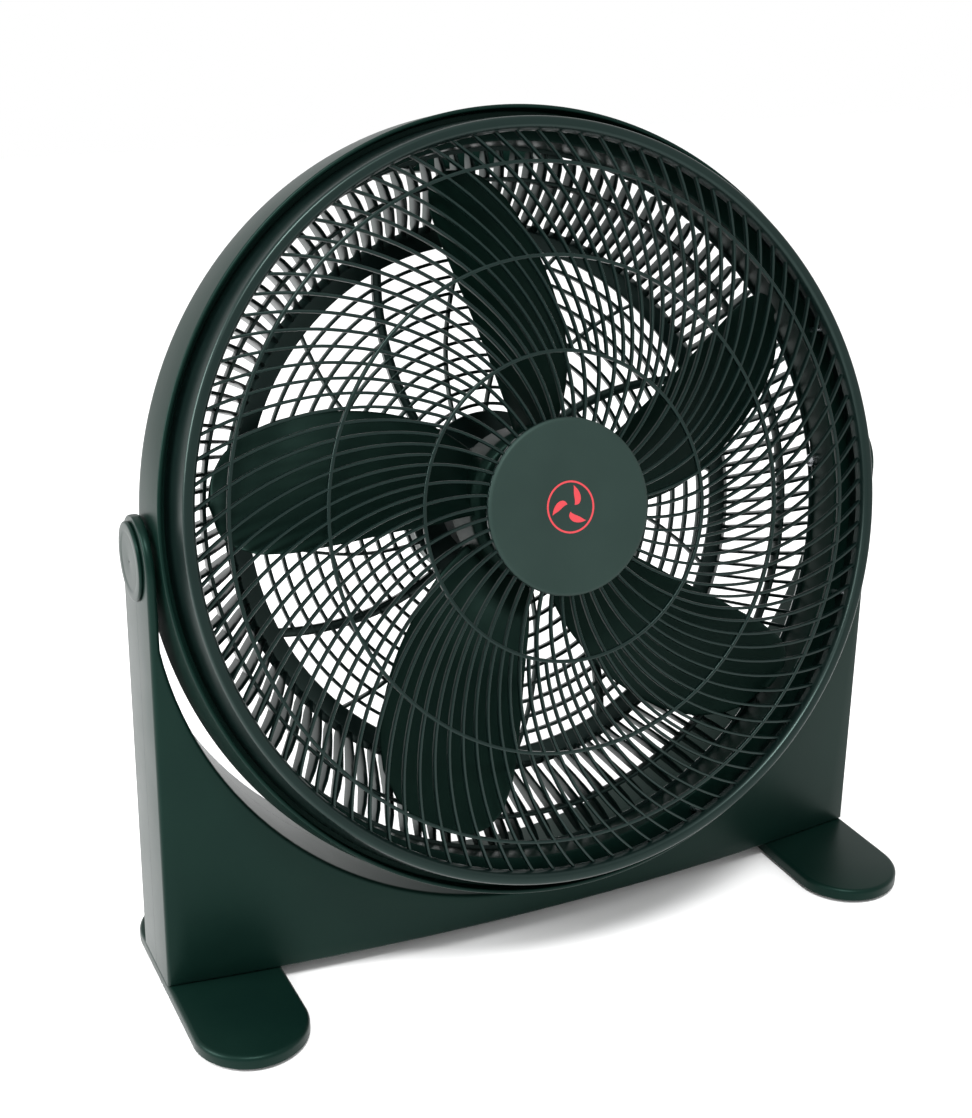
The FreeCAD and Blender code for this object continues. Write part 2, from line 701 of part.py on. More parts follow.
plate = "plate_front + wall + 1"
rear_blank = turned([
    (0, "plate_front"), (211, "plate_front"), (225, 32), (239.5, 14), (252, 6), (262, "drum_back + 0.2"),
    ("drum_radius", "drum_back + 0.2"), ("drum_radius", 6), (287, 8.4), (266, 10), (258, 17), (246, 26),
    (232.5, 41), (218, plate), (0, plate),
])
rear_posts = [post(5, clamp, angle, 2.2, 17) for angle in SCREW_ANGLES]
rear_holes = [post(2.3, clamp, angle, 0, 30) for angle in SCREW_ANGLES]
rear_holes += [post(4.7, clamp, angle, 12, 40) for angle in SCREW_ANGLES]
rear_holes += [post(2.2, 38, angle, 40, 75) for angle in (45, 135, 225, 315)]
rear_holes += [post(2.05, 55, angle, 40, 75) for angle in (90, 210, 330)]
rear_holes.append(post(9, 0, 0, 40, 75))
for side in (-1, 1):
    rear_holes.append(Part.makeCylinder(16.4, 45, Vector(side * 258.5, 0, 0), Vector(side, 0, 0)))
HANDLE_POSTS = [(side * 60, 263) for side in (-1, 1)]
for x, z in HANDLE_POSTS:
    rear_posts.append(Part.makeCylinder(11, 21.5, Vector(x, 4.5, z), Vector(0, 1, 0)))
    rear_holes.append(Part.makeCylinder(2.3, 40, Vector(x, 0, z), Vector(0, 1, 0)))
    rear_holes.append(Part.makeCylinder(4.7, 22.6, Vector(x, -5, z), Vector(0, 1, 0)))
RINGS = [75.5 + 12.5 * i for i in range(10)]
rear_zones = [(16, ring + 1.3, ring + 11.2, rear_twist, spoke_width) for ring in RINGS[:-1]]
rear_zones.append((16, RINGS[-1] + 1.3, 198, rear_twist, spoke_width))
rear_zones += [(132, 214, 240.6, wall_twist, wall_width), (132, 243.4, 261, wall_twist, wall_width)]
guard("rear_grille", rear_blank, rear_zones, rear_posts, rear_holes)

keep(group("guard_screw_group", [
    screw("guard_screw_%d" % i,
          (clamp * math.cos(math.radians(angle)), -46, clamp * math.sin(math.radians(angle))),
          (0, 1, 0), 2, 58, 4.2, 3)
    for i, angle in enumerate(SCREW_ANGLES)
]), "grille_screws", on_head=True)

badge = new_body("badge_body")
revolve(badge, "badge_section", [
    (0, "0 - guard_crown - guard_depth - 0.1"), ("hub_radius", "0 - guard_crown - guard_depth - 0.1"),
    ("hub_radius", "0 - guard_crown - guard_depth - 1"), ("hub_radius - 1.5", "0 - guard_crown - guard_depth - 2.2"),
    (0, "0 - guard_crown - guard_depth - 2.2"),
])
peg = pad(badge, "badge_peg", "XZ", "guard_crown - 2", 6,
          [(40 * math.cos(math.radians(30)), 40 * math.sin(math.radians(30)), 3)])
around(badge, "badge_pegs", peg, 3)
keep(badge, "grille_badge", on_head=True)

bend = 12 * (1 - math.sqrt(0.5))
handle = new_body("handle_body")
pad(handle, "handle_bow", "XY", 255, 16, [[
    ("0 - handle_half", 26.1), ("0 - handle_half", "handle_back - 12"),
    ("arc", bend - number("handle_half"), number("handle_back") - bend), ("0 - handle_half + 12", "handle_back"),
    ("handle_half - 12", "handle_back"), ("arc", number("handle_half") - bend, number("handle_back") - bend),
    ("handle_half", "handle_back - 12"), ("handle_half", 26.1), ("handle_half - 20", 26.1),
    ("handle_half - 20", "handle_back - 14"), ("0 - handle_half + 20", "handle_back - 14"),
    ("0 - handle_half + 20", 26.1),
]])
pocket(handle, "handle_screw_ways", "XZ", -24, 16, [(x, z, 2.05) for x, z in HANDLE_POSTS])
keep(handle, "carry_handle", on_head=True)
keep(group("handle_screw_group", [
    screw("handle_screw_%d" % i, (x, 40, z), (0, -1, 0), 2, 22.4, 4.2, 3)
    for i, (x, z) in enumerate(HANDLE_POSTS)
]), "handle_screws", on_head=True)


# ---------------------------------------------------------------- motor

bracket = new_body("front_bracket_body")
revolve(bracket, "front_bracket_cup", [
    ("shaft_radius + 6", -4), (16, -4), (16, 0), ("motor_radius", 4), ("motor_radius", 12),
    ("core_radius + 0.2", 12), ("core_radius + 0.2", 8), ("shaft_radius + 6", 4),
])
pocket(bracket, "front_bracket_bolts", "XZ", 20, 60, [
    (38 * math.cos(math.radians(a)), 38 * math.sin(math.radians(a)), 2.1) for a in (45, 135, 225, 315)])
slot = pocket(bracket, "front_bracket_vent", "XZ", 20, 60, [(24, 0, 4)])
around(bracket, "front_bracket_vents", slot, 8)
keep(bracket, "motor_front_bracket", on_head=True)

bracket = new_body("rear_bracket_body")
revolve(bracket, "rear_bracket_cup", [
    ("shaft_radius + 6", 32), ("core_radius + 0.2", 32), ("core_radius + 0.2", 28), ("motor_radius", 28),
    ("motor_radius", "plate_front - 0.2"), (30, "plate_front - 0.2"), (16, 38), ("shaft_radius + 6", 38),
])
pocket(bracket, "rear_bracket_bolts", "XZ", 0, 60, [
    (38 * math.cos(math.radians(a)), 38 * math.sin(math.radians(a)), 2.1) for a in (45, 135, 225, 315)])
keep(bracket, "motor_rear_bracket", on_head=True)

core = new_body("stator_core_body")
pad(core, "stator_stack", "XZ", -28, 16, [(0, 0, "core_radius"), (0, 0, 22.5)])
slot = pocket(core, "stator_slot", "XZ", -40, 60, [[(20, -2), (33, -4.5), (33, 4.5), (20, 2)]], reverse=True)
around(core, "stator_slots", slot, 8)
pocket(core, "stator_bolt_ways", "XZ", -40, 60, [
    (38 * math.cos(math.radians(a)), 38 * math.sin(math.radians(a)), 2.1) for a in (45, 135, 225, 315)], reverse=True)
keep(core, "stator_core", on_head=True)

coils = []
for i in range(8):
    for name, start in (("front", 8.3), ("back", 28.1)):
        coil = doc.addObject("Part::Torus", "coil_%s_%d" % (name, i))
        coil.Radius1 = 6.4
        coil.Radius2 = 1.8
        turn = math.radians(45 * i + 22.5)
        centre = Vector(30.5 * math.cos(turn), start + 1.8, 30.5 * math.sin(turn))
        coil.Placement = Placement(centre, Rotation(Vector(0, 0, 1), Vector(0, 1, 0)))
        coils.append(coil)
keep(group("winding_group", coils), "stator_windings", on_head=True)

rotor = new_body("rotor_core_body")
revolve(rotor, "rotor_stack", [("shaft_bore", 12), (22, 12), (22, 28), ("shaft_bore", 28)])
keep(rotor, "rotor_core", on_head=True)

shaft = new_body("shaft_body")
revolve(shaft, "shaft_turning", [
    (0, -44), (3, -44), (3, -30), ("shaft_radius", -30), ("shaft_radius", 40), (0, 40),
])
keep(shaft, "motor_shaft", on_head=True)

rings = []
for name, start in (("front", -3), ("back", 33)):
    outer_ring = cylinder("bearing_%s_outer" % name, "shaft_radius + 5.98", 4.8, (0, start, 0), (0, 1, 0))
    bore = cylinder("bearing_%s_bore" % name, "shaft_bore", 10, (0, start - 2, 0), (0, 1, 0))
    rings.append(cut("bearing_" + name, outer_ring, bore))
keep(group("bearing_group", rings), "shaft_bearings", on_head=True)

keep(group("motor_bolt_group", [
    screw("motor_bolt_%d" % i, (38 * math.cos(math.radians(a)), 60, 38 * math.sin(math.radians(a))),
          (0, -1, 0), 2, 57.6, 4, 3)
    for i, a in enumerate((45, 135, 225, 315))
]), "motor_bolts", on_head=True)

cover = new_body("cover_body")
revolve(cover, "cover_cup", [
    ("cover_radius", "plate_front + wall + 1.1"), ("cover_radius", "plate_front + cover_depth - 6"),
    ("cover_radius - 6", "plate_front + cover_depth"), (0, "plate_front + cover_depth"),
    (0, "plate_front + cover_depth - wall"), ("cover_radius - 7.2", "plate_front + cover_depth - wall"),
    ("cover_radius - wall", "plate_front + cover_depth - 7.2"), ("cover_radius - wall", "plate_front + wall + 1.1"),
])
COVER_SCREWS = [(55 * math.cos(math.radians(a)), 55 * math.sin(math.radians(a))) for a in (90, 210, 330)]
pad(cover, "cover_posts", "XZ", "0 - plate_front - wall - 1.1", 34, [(x, z, 5) for x, z in COVER_SCREWS], reverse=True)
pocket(cover, "cover_screw_ways", "XZ", -112, 70, [(x, z, 2.3) for x, z in COVER_SCREWS], reverse=True)
pocket(cover, "cover_screw_seats", "XZ", -112, 24, [(x, z, 4.5) for x, z in COVER_SCREWS], reverse=True)
pocket(cover, "knob_way", "XZ", -100, 40, [(0, -26, 4.2)], reverse=True)
pocket(cover, "inlet_way", "XY", -50, 30, [(0, 78, 6.1)])
vent = pocket(cover, "cover_vent", "XZ", -100, 40, [[(8, 38), (10.5, 38), (10.5, 52), (8, 52)]], reverse=True)
around(cover, "cover_vents", vent, 9)
keep(cover, "motor_rear_cover", on_head=True)
keep(group("cover_screw_group", [
    screw("cover_screw_%d" % i, (x, 55, z), (0, 1, 0), 2, 33, 4.2, 3)
    for i, (x, z) in enumerate(COVER_SCREWS)
]), "cover_screws", on_head=True)

can = box("capacitor_can", (-20, 58.2, 14), (20, 80, 44))
keep(group("capacitor_block", [can]), "capacitor", on_head=True)

switch = new_body("switch_body_body")
pad(switch, "switch_case", "XZ", -70.9, 20, [[(-14, -40), (14, -40), (14, -12), (-14, -12)]], reverse=True)
pad(switch, "switch_neck", "XZ", -90.9, 0.5, [(0, -26, 4)], reverse=True)
keep(switch, "speed_switch", on_head=True)

knob = new_body("knob_body")
knob_face = "plate_front + cover_depth + 0.6"
pad(knob, "knob_disc", "XZ", "0 - (%s)" % knob_face, 14, [(0, -26, "knob_radius")], reverse=True)
pad(knob, "knob_stem", "XZ", "0 - (%s)" % knob_face, 3.1, [(0, -26, 3.9)])
pocket(knob, "knob_pointer", "XZ", "0 - (%s) - 14" % knob_face, 1.5,
       [[(-1.2, -24), (1.2, -24), (1.2, -10.5), (-1.2, -10.5)]], reverse=True)
keep(knob, "speed_knob", on_head=True)

gland = new_body("gland_body")
pad(gland, "gland_flange", "XY", "0 - cover_radius - 3", 3, [(0, 78, 9)])
pad(gland, "gland_neck", "XY", "0 - cover_radius - 3", 8, [(0, 78, 6)])
pocket(gland, "gland_bore", "XY", -50, 30, [(0, 78, 3.6)])
keep(gland, "cord_inlet_gland", on_head=True)


# ---------------------------------------------------------------- impeller

BLADES = 5
impeller = new_body("impeller_body")
revolve(impeller, "impeller_hub", [
    ("shaft_bore", "0 - hub_front"), ("hub_outer - 5", "0 - hub_front"), ("hub_outer", "0 - hub_front + 5"),
    ("hub_outer", "0 - hub_back"), ("hub_outer - wall", "0 - hub_back"), ("hub_outer - wall", "0 - hub_front + 6"),
    ("hub_outer - 6", "0 - hub_front + wall"), (13, "0 - hub_front + wall"), (12, "0 - hub_front + 26"),
    ("shaft_bore", "0 - hub_front + 26"),
])


def blade_section(chord, pitch, camber, thickness, across, depth):
    """Thin curved blade section as (depth behind the pivot, distance across)."""
    lean = math.radians(pitch)
    along = (math.sin(lean), math.cos(lean))
    normal = (math.cos(lean), -math.sin(lean))

    def place(share, lift):
        return (depth + along[0] * chord * share + normal[0] * lift,
                across + along[1] * chord * share + normal[1] * lift)

    edge = thickness * 0.3
    return [
        place(-0.5, -edge), ("arc",) + place(0, camber - thickness / 2), place(0.5, -edge),
        place(0.5, edge), ("arc",) + place(0, camber + thickness / 2), place(-0.5, edge),
    ]


SECTIONS = [
    (54, 46, -38, 2, 4, 0, -18), (118, 88, -24, 6, 4, 10, -31),
    (190, 104, -29, 8, 3.4, 41, -30), (240, 56, -30, 3, 3, 67, -30),
]
outlines = []
for distance, chord, pitch, camber, thickness, across, depth in SECTIONS:
    outline = body_sketch(impeller, "blade_section_%d" % distance, "YZ", distance)
    loop(outline, blade_section(chord, pitch, camber, thickness, across, depth))
    outlines.append(outline)
blade = impeller.newObject("PartDesign::AdditiveLoft", "blade")
blade.Profile = outlines[0]
blade.Sections = outlines[1:]
blade.Ruled = False
doc.recompute()
around(impeller, "blades", blade, BLADES)
revolve(impeller, "hub_inside", [
    (13, "0 - hub_front + wall"), ("hub_outer - 6", "0 - hub_front + wall"),
    ("hub_outer - wall", "0 - hub_front + 6"), ("hub_outer - wall", 20), (13, 20),
], "PartDesign::Groove")
sweep = cylinder("blade_sweep", "blade_tip", 160, (0, -100, 0), (0, 1, 0))
trimmed = common("impeller_trimmed", [impeller, sweep])
trimmed.Placement = Placement(Vector(0, 0, 0), Rotation(Vector(0, 1, 0), -12))
keep(group("impeller_turned", [trimmed]), "impeller", on_head=True)

nut = prism("impeller_nut_hex", 6, 7.5, 6, (0, -42.2, 0), (0, 1, 0))
nut_bore = cylinder("impeller_nut_bore", 3.03, 20, (0, -50, 0), (0, 1, 0))
keep(cut("impeller_nut_cut", nut, nut_bore), "impeller_nut", on_head=True)


# ---------------------------------------------------------------- write the pieces

doc.recompute()
for thing in doc.Objects:
    if "Invalid" in thing.State or "Error" in thing.State:
        raise ValueError(thing.Name + " is " + str(thing.State))
for thing in NODES:
    if thing.Shape.isNull() or not thing.Shape.isValid():
        raise ValueError(thing.Label + " has no valid shape")
    thing.Shape.exportStep("parts/" + thing.Label + ".step")
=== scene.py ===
import json

import bmesh
import bpy
import numpy as np
from mathutils import Matrix, Vector


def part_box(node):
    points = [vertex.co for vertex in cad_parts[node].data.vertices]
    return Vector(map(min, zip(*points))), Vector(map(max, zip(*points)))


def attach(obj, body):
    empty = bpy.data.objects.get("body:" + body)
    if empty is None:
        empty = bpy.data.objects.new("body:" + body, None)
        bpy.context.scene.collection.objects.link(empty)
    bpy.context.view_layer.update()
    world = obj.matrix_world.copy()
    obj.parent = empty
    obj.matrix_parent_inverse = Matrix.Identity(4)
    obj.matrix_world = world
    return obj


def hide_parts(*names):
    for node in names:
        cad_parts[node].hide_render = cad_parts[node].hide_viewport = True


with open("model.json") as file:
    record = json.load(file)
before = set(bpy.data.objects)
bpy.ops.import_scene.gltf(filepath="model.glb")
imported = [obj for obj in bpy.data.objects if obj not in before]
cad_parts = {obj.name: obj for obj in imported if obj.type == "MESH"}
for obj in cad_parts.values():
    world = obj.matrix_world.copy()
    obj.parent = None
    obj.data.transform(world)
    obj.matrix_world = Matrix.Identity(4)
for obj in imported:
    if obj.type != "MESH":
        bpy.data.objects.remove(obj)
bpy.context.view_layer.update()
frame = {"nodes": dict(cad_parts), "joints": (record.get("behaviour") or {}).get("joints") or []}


# ---------------------------------------------------------------- cradle
# The U-shaped stand: two thin shells of injection-moulded black ABS, front and rear, that meet on
# a seam halfway back and are screwed together. The front face bows outwards in plan, the head
# nests in the round cutout, and each arm ends in a half-round ear that carries the tilt bolt.

MM = 0.001                     # drawing unit: every size below is in millimetres
joints = {joint["name"]: joint for joint in frame["joints"]}
PIVOT = np.array(joints["head_tilt"]["pos_m"]) / MM
FORWARD = np.array(joints["fan_spin"]["axis"], float)
UPWARD = np.cross([1.0, 0.0, 0.0], -FORWARD)


def closed(values):
    """The same points with the first one repeated at the end, so a ring of them joins up."""
    return np.concatenate([values, values[:1]])


def weave(rows, columns):
    """Quads of a grid of rows x columns points: each joins a point to the next one along its row
    and to the same two points of the next row."""
    corner = np.arange(rows * columns).reshape(rows, columns)
    return np.stack([corner[:-1, :-1], corner[1:, :-1], corner[1:, 1:], corner[:-1, 1:]], -1).reshape(-1, 4)


def piece(name, grids, body, material, replaces=(), crease=40):
    """One object from a list of grids of points (rows, columns, xyz) in millimetres. Points that
    fall together are merged, which closes rings and poles, and the faces are turned outwards."""
    points, faces, count = [], [], 0
    for grid in grids:
        rows, columns = grid.shape[:2]
        points.append(grid.reshape(-1, 3) * MM)
        faces.append(weave(rows, columns) + count)
        count += rows * columns
    mesh = bpy.data.meshes.new(name)
    mesh.from_pydata(np.concatenate(points).tolist(), [], np.concatenate(faces).tolist())
    work = bmesh.new()
    work.from_mesh(mesh)
    bmesh.ops.remove_doubles(work, verts=work.verts, dist=0.002 * MM)
    bmesh.ops.dissolve_degenerate(work, edges=work.edges, dist=0.001 * MM)
    bmesh.ops.recalc_face_normals(work, faces=work.faces)
    work.to_mesh(mesh)
    work.free()
    mesh.polygons.foreach_set("use_smooth", np.ones(len(mesh.polygons), bool))
    mesh.set_sharp_from_angle(angle=np.radians(crease))
    mesh.materials.append(material)
    made = bpy.data.objects.new(name, mesh)
    bpy.context.scene.collection.objects.link(made)
    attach(made, body)
    if replaces:
        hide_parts(*replaces)
    return made


def linear(code):
    """A hex colour as written for a screen, turned to the linear numbers that a shader takes."""
    value = np.array([int(code[k:k + 2], 16) for k in (0, 2, 4)]) / 255
    value = np.where(value > 0.04045, ((value + 0.055) / 1.055) ** 2.4, value / 12.92)
    return (*value.tolist(), 1.0)


def add(tree, kind, settings, inputs):
    """One shader node: its own settings, and for each input a value or the socket that feeds it."""
    made = tree.nodes.new(kind)
    for name, value in settings.items():
        setattr(made, name, value)
    for name, value in inputs.items():
        if isinstance(value, bpy.types.NodeSocket):
            tree.links.new(value, made.inputs[name])
        else:
            made.inputs[name].default_value = value
    return made


def moulded(name, dark, light, roughness, grain, depth, ior=1.53, metallic=0.0, patch=45, sheen="ffffff",
            shine=0.5):
    """A moulded or cast surface: the tool's spark-eroded grain as a bump, grain mm across and
    depth mm high, over soft patches where colour and gloss drift a little, patch mm across. The
    highlight takes the sheen colour."""
    material = bpy.data.materials.new(name)
    material.use_nodes = True
    tree = material.node_tree
    tree.nodes.clear()
    place = add(tree, "ShaderNodeTexCoord", {}, {}).outputs["Object"]
    fine = add(tree, "ShaderNodeTexNoise", {}, {"Vector": place, "Scale": 1 / (grain * MM), "Detail": 2.0})
    drift = add(tree, "ShaderNodeTexNoise", {}, {"Vector": place, "Scale": 1 / (patch * MM), "Detail": 4.0})
    colour = add(tree, "ShaderNodeMix", {"data_type": "RGBA"},
                 {"Factor": drift.outputs["Fac"], 6: linear(dark), 7: linear(light)})
    gloss = add(tree, "ShaderNodeMapRange", {},
                {"Value": drift.outputs["Fac"], "To Min": roughness - 0.05, "To Max": roughness + 0.05})
    bump = add(tree, "ShaderNodeBump", {},
               {"Height": fine.outputs["Fac"], "Distance": depth * MM, "Strength": 1.0})
    shader = add(tree, "ShaderNodeBsdfPrincipled", {},
                 {"Base Color": colour.outputs[2], "Roughness": gloss.outputs["Result"],
                  "Normal": bump.outputs["Normal"], "IOR": ior, "Metallic": metallic,
                  "Specular Tint": linear(sheen), "Specular IOR Level": shine})
    add(tree, "ShaderNodeOutputMaterial", {}, {"Surface": shader.outputs["BSDF"]})
    return material


# Injection-moulded ABS from a spark-eroded tool: near black with a cold green cast, a satin sheen
# broken by a fine even grain. The real grain is about 0.3 mm; it is drawn at 1.1 mm to show.
black_abs = moulded("moulded_black_abs", "041310", "081a15", 0.36, grain=1.1, depth=0.05, sheen="9fd2c4",
                     shine=0.17)

SEAM, BACK, BASE = -3.0, 30.0, 12.0       # the seam, the rear face and the underside
CUT_R, CUT_Z, INNER = 295.5, 330.0, 291.5  # round cutout, its centre height, inner flat of the arms
EAR_R = 33.0                               # half-round top of each arm, about the tilt bolt


def bow(x):
    """Front face in plan: the circular arc through y -58 at the middle and -35 at x 306."""
    radius = (306.0 ** 2 + 23.0 ** 2) / (2 * 23.0)
    return -58.0 + radius - np.sqrt(radius ** 2 - x ** 2)


def side(z):
    """Outer side of an arm: it draws in 3 mm from the foot to the tilt bolt."""
    return 301.0 - 3.0 * (z - BASE) / (PIVOT[2] - BASE)


def soft(length, radius, count=5, flat=7):
    """Stations from 0 to length, bunched in a quarter turn of the radius at each end, with the
    inset there: (distance along, how far the corner has fallen away)."""
    turn = np.linspace(0, np.pi / 2, count)
    first = radius * (1 - np.cos(turn)), radius * (1 - np.sin(turn))
    middle = np.linspace(radius, length - radius, flat)[1:-1]
    along = np.concatenate([first[0], middle, length - first[0][::-1]])
    fall = np.concatenate([first[1], 0 * middle, first[1][::-1]])
    return along, fall


def cradle(depth_face, seam, edge):
    """Half of the cradle as a grid: rows go round the U from one ear to the other, and each row
    is a closed section that crosses from the cutout to the outside, with its corners rounded.
    depth_face(x) gives the outer face of this half, seam the plane where it stops."""
    ear = np.linspace(np.pi / 2, 0, 12)
    ear_z, ear_half = PIVOT[2] + EAR_R * np.sin(ear), EAR_R * np.cos(ear)
    low = CUT_Z - np.sqrt(CUT_R ** 2 - INNER ** 2)
    arm_z = np.linspace(PIVOT[2], low, 8)[1:]
    start = np.arctan2(low - CUT_Z, INNER)
    corner = np.arctan2(BASE - CUT_Z, side(BASE))
    swing = np.concatenate([np.linspace(start, corner, 16)[1:], np.linspace(corner, -np.pi / 2, 30)[1:]])
    straight_z = np.concatenate([ear_z, arm_z])
    half = np.concatenate([ear_half, np.full(len(arm_z) + len(swing), EAR_R)])
    inner = np.concatenate([np.stack([np.full(len(straight_z), INNER), straight_z], 1),
                            np.stack([CUT_R * np.cos(swing), CUT_Z + CUT_R * np.sin(swing)], 1)])
    reach = np.minimum(side(BASE) / np.maximum(np.cos(swing), 1e-6), (BASE - CUT_Z) / np.sin(swing))
    outer = np.concatenate([np.stack([side(straight_z), straight_z], 1),
                            np.stack([reach * np.cos(swing), CUT_Z + reach * np.sin(swing)], 1)])
    outer[:, 0] = np.minimum(outer[:, 0], side(outer[:, 1]))
    rows = []
    for a, b, limit in zip(inner, outer, half):
        length = np.hypot(*(b - a))
        round_by = min(edge, 0.45 * length, 0.9 * limit)
        along, fall = soft(length, round_by)
        spot = a + (b - a) * (along / length)[:, None]
        sign = np.sign(depth_face(0.0) - seam)
        face = depth_face(spot[:, 0])
        face = np.where(limit < EAR_R, seam + sign * np.minimum(abs(face - seam), limit), face)
        front = face - sign * np.minimum(fall, limit)
        row = np.concatenate([[[*a, seam]], np.column_stack([spot, front]), [[*b, seam]], [[*a, seam]]])
        rows.append(row[:, [0, 2, 1]])
    left = np.array(rows)
    right = left[::-1][1:] * [-1, 1, 1]
    return np.concatenate([left, right])


front_half = cradle(bow, SEAM - 0.1, 3.2)
rear_half = cradle(lambda x: BACK + 0 * np.asarray(x), SEAM + 0.1, 2.4)
piece("cradle_front_shell", [front_half], "stand", black_abs, ["stand_front_shell"], crease=50)
piece("cradle_rear_shell", [rear_half], "stand", black_abs, ["stand_rear_shell"], crease=50)


# ---------------------------------------------------------------- feet
# Two plate feet of the same black ABS, each screwed up under one side of the cradle. Both ends are
# half round, the top edge is softened, and rubber pads keep them from sliding.

FOOT_TOP, FOOT_UNDER, FOOT_HALF = 12.0, 2.0, 42.5


def plate(middle, half, front, back, profile):
    """A round-ended plate: its outline keeps a distance R(t) from a straight spine, and the profile
    gives that distance as an inset from the edge with the height, from the underside to the top."""
    turn = np.linspace(0, 2 * np.pi, 97)
    spine = np.where(np.sin(turn) >= 0, back - half, front + half)
    inset, height = np.array(profile).T
    reach = half - inset[:, None]
    grid = np.stack([middle + reach * np.cos(turn), spine + reach * np.sin(turn),
                     np.broadcast_to(height[:, None], (len(height), len(turn)))], -1)
    return np.concatenate([grid, grid[:, :1]], 1)


edge = np.linspace(0, np.pi / 2, 6)
foot_profile = ([(FOOT_HALF, FOOT_UNDER), (0.8, FOOT_UNDER), (0.0, FOOT_UNDER + 0.8)]
                + list(zip(3.4 * (1 - np.cos(edge)), FOOT_TOP - 3.4 * (1 - np.sin(edge))))
                + [(FOOT_HALF, FOOT_TOP)])
for name in ("left", "right"):
    low, high = (np.array(corner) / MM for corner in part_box("foot_" + name))
    grid = plate((low[0] + high[0]) / 2, FOOT_HALF, low[1], high[1], foot_profile)
    piece("foot_plate_" + name, [grid], "stand", black_abs, ["foot_" + name])

# Moulded nitrile rubber: dull, nearly black, with a bloom that greys it a little.
foot_rubber = moulded("moulded_nitrile_rubber", "161616", "232323", 0.82, grain=0.9, depth=0.04, ior=1.52)


# ---------------------------------------------------------------- tilt pivots
# A shallow round cap snaps over each pivot bolt on the outside of an arm: ABS, with a soft edge
# and a dished face.


def rounded(corners, radius, count=4):
    """A polygon with each corner taken off by a short curve: the curve leaves one edge at the
    radius from the corner, or at 45% of a short edge, and joins the next edge as far along."""
    corners = np.asarray(corners, float)
    before = np.roll(corners, 1, 0) - corners
    after = np.roll(corners, -1, 0) - corners
    span = [np.linalg.norm(edge, axis=1, keepdims=True) for edge in (before, after)]
    cut = [np.minimum(radius, 0.45 * length) / length for length in span]
    t = np.linspace(0, 1, count)[None, :, None]
    first, last = corners + before * cut[0], corners + after * cut[1]
    curve = (1 - t) ** 2 * first[:, None] + 2 * t * (1 - t) * corners[:, None] + t ** 2 * last[:, None]
    return curve.reshape(-1, 2)


def spun(profile, stations=180):
    """A ring round the fan axis from a closed profile of (radius, distance behind the pivot)."""
    turn = np.linspace(0, 2 * np.pi, stations + 1)[:, None]
    radius, depth = closed(np.asarray(profile, float)).T
    return np.stack([radius * np.cos(turn), depth + 0 * turn, radius * np.sin(turn)], -1)


def on_head(points):
    """Points given as (right, behind the pivot, up) along the tilted fan axis, in the row frame."""
    x, y, z = np.moveaxis(points, -1, 0)
    return PIVOT + x[..., None] * [1.0, 0.0, 0.0] - y[..., None] * FORWARD + z[..., None] * UPWARD


for name in ("left", "right"):
    low, high = (np.array(corner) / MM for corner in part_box("pivot_cap_" + name))
    near, far = (high[0], low[0]) if name == "left" else (low[0], high[0])
    sign = np.sign(far)
    disc = rounded([(0, 0), (28, 0), (28, 3), (22, 3), (20, 2.5), (0, 2.5)], 1.6)
    ring = spun(disc, 96)
    cap = np.stack([sign * (298.0 + ring[..., 1]), PIVOT[1] + ring[..., 0], PIVOT[2] + ring[..., 2]], -1)
    piece("tilt_cap_" + name, [cap], "stand", black_abs, ["pivot_cap_" + name])


# ---------------------------------------------------------------- drum
# The round housing between the two guards: an outer wall and an air duct inside it joined by a
# web, one ABS moulding with flats where it runs between the arms.

DRUM = [(288, -38.9), (290.6, 0), (290.6, 4), (287.6, 4), (287.6, 0), (285.2, -24), (267, -24),
        (267, 4), (264, 4), (264, -27), (285, -27), (285, -38.9)]
drum = spun(rounded(DRUM, 1.2), 240)
drum[..., 0] = np.clip(drum[..., 0], -290, 290)
boss = spun(rounded([(5.2, 0), (16, 0), (16, 1), (14.5, 22), (5.2, 22)], 0.8), 48)
bosses = [np.stack([side * (289.9 - boss[..., 1]), boss[..., 0], boss[..., 2]], -1) for side in (-1, 1)]
piece("drum_shell", [on_head(grid) for grid in [drum] + bosses], "head", black_abs, ["drum_housing"])


# ---------------------------------------------------------------- front guard
# One moulding in black polypropylene: a broad rolled rim, four rings, and thin spiral ribs, 50 of
# them inside the first ring and 100 outside it.

# Injection-moulded polypropylene: black with a grey-green cast, glossier than the ABS because the
# tool for the ribs is polished. The flow marks are a few centimetres long.
guard_plastic = moulded("moulded_black_polypropylene", "050e0d", "081412", 0.3, grain=1.4, depth=0.02, ior=1.49,
                        sheen="b4d3cc", shine=0.45)

RIM = [(267, -52.5), (267, -56), (268, -59.3), (270, -61.3), (275, -61.3), (276.5, -59.8), (281, -27.2),
       (278.4, -27.2), (274, -57.3), (270, -56.3), (270, -50), (267, -50)]
CROWN = -75.4
DOME_R = np.array([0, 111, 178.5, 245, 267])
DOME_Y = np.array([CROWN, CROWN, -69.5, -60.5, -56])


def dome(radius):
    """Front of the guard at a radius, behind the pivot: flat in the middle, then falling back."""
    return np.interp(radius, DOME_R, DOME_Y)


def dome_back(radius):
    """Back of a front rib: 3.4 mm deep all along."""
    return dome(radius) + 3.4


def front_turn(radius):
    """How far a front rib has turned at a radius, in radians: nearly radial at the hub, then an
    even spiral, anticlockwise as seen from the front."""
    run = radius - 66
    return np.radians(0.174 * run - 2.4 * (1 - np.exp(-run / 30)))


